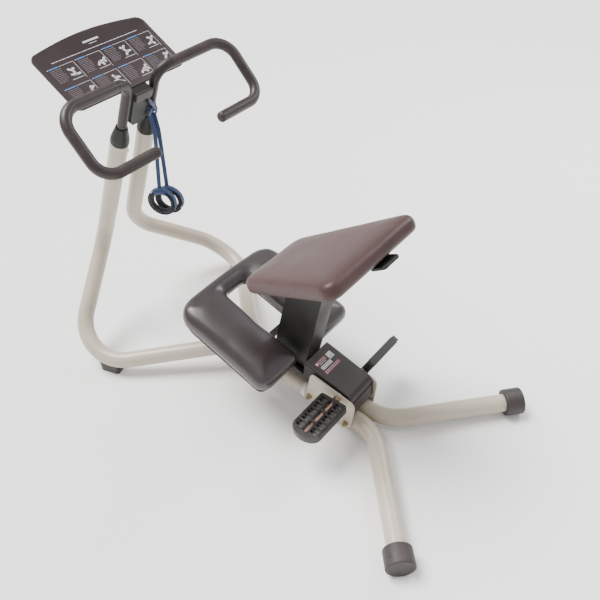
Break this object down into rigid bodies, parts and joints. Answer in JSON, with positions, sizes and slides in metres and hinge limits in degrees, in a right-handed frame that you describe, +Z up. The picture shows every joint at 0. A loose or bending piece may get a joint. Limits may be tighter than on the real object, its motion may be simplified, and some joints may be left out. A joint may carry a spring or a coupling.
{
  "type": "kneeling stretching machine",
  "caption": "Kneeling stretching machine: bent tube frame with handlebars and an instruction board, a rocking seat and shin pad, spinning foot pedals and a hanging stretch strap.",
  "frame": {"origin": "centre of the footprint on the floor, under the middle of the machine", "axes": "+X the user's left, +Y from the handlebars towards the rear legs, +Z up; the user faces -Y"},
  "size_m": [0.7992, 1.6108, 1.1268],
  "materials": {
    "frame_paint": "warm off-white powder coat, satin",
    "dark_paint": "near-black powder coat, satin",
    "cover_plastic": "brown-grey, lightly grained",
    "grip_foam": "brown-grey moulded foam, soft sheen",
    "foot_rubber": "brown-grey rubber, matt",
    "seat_vinyl": "reddish brown-grey grained vinyl",
    "pad_vinyl": "dark brown-grey smooth vinyl with a soft sheen",
    "pedal_plastic": "black moulded plastic, fine texture",
    "white_nylon": "white nylon",
    "brass": "yellow zinc or brass, satin",
    "spindle_steel": "turned steel with a copper tint",
    "board_plastic": "mauve-brown printed sheet, satin",
    "plywood": "black-stained plywood",
    "webbing": "blue woven nylon webbing",
    "ring_foam": "black foam over webbing"
  },
  "bodies": {
    "frame": {"frame_tube_left": "frame_paint", "front_foot_left": "foot_rubber", "rear_cap_left": "foot_rubber", "side_plate_left": "frame_paint", "plate_bolt_front_left": "brass", "plate_bolt_rear_left": "brass", "stop_collar_left": "white_nylon", "column_sleeve_left": "dark_paint", "handlebar_left": "dark_paint", "grip_left": "grip_foam", "grip_end_left": "foot_rubber", "pedal_spindle_left": "spindle_steel", "spindle_nut_left": "brass", "frame_tube_right": "frame_paint", "front_foot_right": "foot_rubber", "rear_cap_right": "foot_rubber", "side_plate_right": "frame_paint", "plate_bolt_front_right": "brass", "plate_bolt_rear_right": "brass", "stop_collar_right": "white_nylon", "column_sleeve_right": "dark_paint", "handlebar_right": "dark_paint", "grip_right": "grip_foam", "grip_end_right": "foot_rubber", "pedal_spindle_right": "spindle_steel", "spindle_nut_right": "brass", "console_panel": "dark_paint", "console_ledge": "cover_plastic", "instruction_board": "board_plastic", "board_bracket": "dark_paint", "pivot_shaft": "spindle_steel", "strap_hitch": "webbing", "strap_strand_left": "webbing", "strap_ring_left": "ring_foam", "strap_strand_right": "webbing", "strap_ring_right": "ring_foam"},
    "rocker": {"arm_web_left": "dark_paint", "pivot_bush_left": "white_nylon", "arm_web_right": "dark_paint", "pivot_bush_right": "white_nylon", "arm_deck": "dark_paint", "arm_base": "dark_paint", "arm_rest": "dark_paint", "arm_cover": "cover_plastic", "seat_post": "dark_paint", "seat_pad": "seat_vinyl", "seat_pan": "plywood", "seat_plate": "dark_paint", "seat_bolt_1": "brass", "seat_bolt_2": "brass", "seat_bolt_3": "brass", "seat_bolt_4": "brass", "seat_tongue": "dark_paint", "knee_pad": "pad_vinyl", "knee_board": "plywood", "knee_yoke": "dark_paint", "knee_bolt_1": "brass", "knee_bolt_2": "brass"},
    "pedal_left": {"pedal_body_left": "pedal_plastic"},
    "pedal_right": {"pedal_body_right": "pedal_plastic"}
  },
  "joints": [
    {"name": "rocker_pivot", "type": "hinge", "parent": "frame", "child": "rocker", "pos_m": [0, 0.336, 0.162], "axis": [-1, 0, 0], "range_deg": [0, 20]},
    {"name": "pedal_left_spin", "type": "hinge", "parent": "frame", "child": "pedal_left", "pos_m": [0.17, 0.336, 0.162], "axis": [1, 0, 0], "continuous": true},
    {"name": "pedal_right_spin", "type": "hinge", "parent": "frame", "child": "pedal_right", "pos_m": [-0.17, 0.336, 0.162], "axis": [1, 0, 0], "continuous": true}
  ]
}
